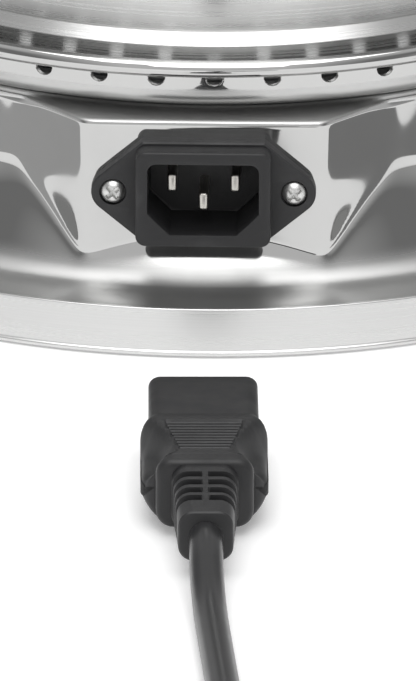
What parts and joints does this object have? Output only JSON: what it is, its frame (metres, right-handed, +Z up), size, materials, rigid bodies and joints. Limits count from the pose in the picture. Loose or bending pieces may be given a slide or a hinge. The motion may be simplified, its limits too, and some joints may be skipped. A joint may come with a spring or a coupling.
{
  "type": "electric kettle",
  "caption": "Lift-off polished steel kettle on a flared heating base with a pierced gallery ring, a panel mains inlet, a turning control and a detached mains lead.",
  "frame": {"origin": "the middle of the base's round foot, on the surface it stands on", "axes": "+Z up; -Y towards the mains inlet side, +Y towards the control side, +X towards the spout"},
  "size_m": [0.2517, 0.632, 0.2749],
  "materials": {
    "polished_steel": "mirror-polished stainless steel",
    "satin_steel": "satin stainless steel with a fine horizontal grain",
    "turned_steel": "turned and brushed stainless steel",
    "zinc_steel": "plain zinc-plated steel",
    "bright_fastener": "bright nickel-plated steel",
    "cast_aluminium": "machined aluminium",
    "element_sheath": "dark oxidised steel sheath",
    "black_plastic": "matt black moulded plastic, fine spark texture",
    "black_phenolic": "satin black heat-resistant plastic",
    "cream_plastic": "cream moulded insulator",
    "amber_lens": "amber tinted clear plastic",
    "black_rubber": "black rubber",
    "white_silicone": "white silicone rubber",
    "nickel_contact": "nickel-plated brass contact",
    "brass_contact": "plain brass contact",
    "brown_wire": "brown insulation",
    "blue_wire": "blue insulation",
    "green_wire": "green insulation with a yellow stripe",
    "black_cord": "black flexible cord sheath, slightly glossy"
  },
  "bodies": {
    "base": {"base_skirt": "polished_steel", "foot_band": "satin_steel", "base_plate": "zinc_steel", "rubber_feet": "black_rubber", "foot_screws": "bright_fastener", "foot_posts": "zinc_steel", "gallery_ring": "polished_steel", "ring_gasket": "black_rubber", "ring_screws": "bright_fastener", "ring_nuts": "zinc_steel", "heating_plate": "cast_aluminium", "heating_element": "element_sheath", "heat_shield": "zinc_steel", "plate_studs": "zinc_steel", "stud_nuts": "zinc_steel", "thermal_cutout": "cream_plastic", "control_thermostat": "cream_plastic", "thermostat_nut": "bright_fastener", "pilot_lens": "amber_lens", "pilot_holder": "black_plastic", "inlet_housing": "black_plastic", "inlet_line_pin": "nickel_contact", "inlet_neutral_pin": "nickel_contact", "inlet_earth_pin": "nickel_contact", "inlet_screws": "bright_fastener", "inlet_nuts": "zinc_steel", "earth_stud": "brass_contact", "line_wire": "brown_wire", "neutral_wire": "blue_wire", "earth_wire": "green_wire", "connector_body": "black_plastic", "connector_contacts": "brass_contact", "connector_relief": "black_plastic", "cord": "black_cord", "cord_coil": "black_cord", "cord_tie": "black_rubber", "plug_relief": "black_plastic", "plug_body": "black_plastic", "plug_pins": "nickel_contact", "plug_earth_clips": "nickel_contact"},
    "knob": {"control_knob": "black_phenolic", "control_spindle": "bright_fastener"},
    "kettle": {"capsule_base": "turned_steel", "vessel_shell": "turned_steel", "spout": "polished_steel", "spout_strainer": "satin_steel", "lid_collar": "polished_steel", "handle_brackets": "polished_steel", "bracket_rivets": "bright_fastener", "handle_arch": "polished_steel", "handle_grip": "black_phenolic"},
    "lid": {"lid_shell": "polished_steel", "lid_seal": "white_silicone", "lid_knob": "black_phenolic", "lid_knob_screw": "bright_fastener"}
  },
  "joints": [
    {"name": "control_turn", "type": "hinge", "parent": "base", "child": "knob", "pos_m": [0, 0.1, 0.0335], "axis": [0, -1, 0], "range_deg": [0, 270]},
    {"name": "kettle_lift", "type": "slide", "parent": "base", "child": "kettle", "axis": [0, 0, 1], "range_m": [0, 0.08]},
    {"name": "lid_lift", "type": "slide", "parent": "kettle", "child": "lid", "axis": [0, 0, 1], "range_m": [0, 0.025]}
  ]
}
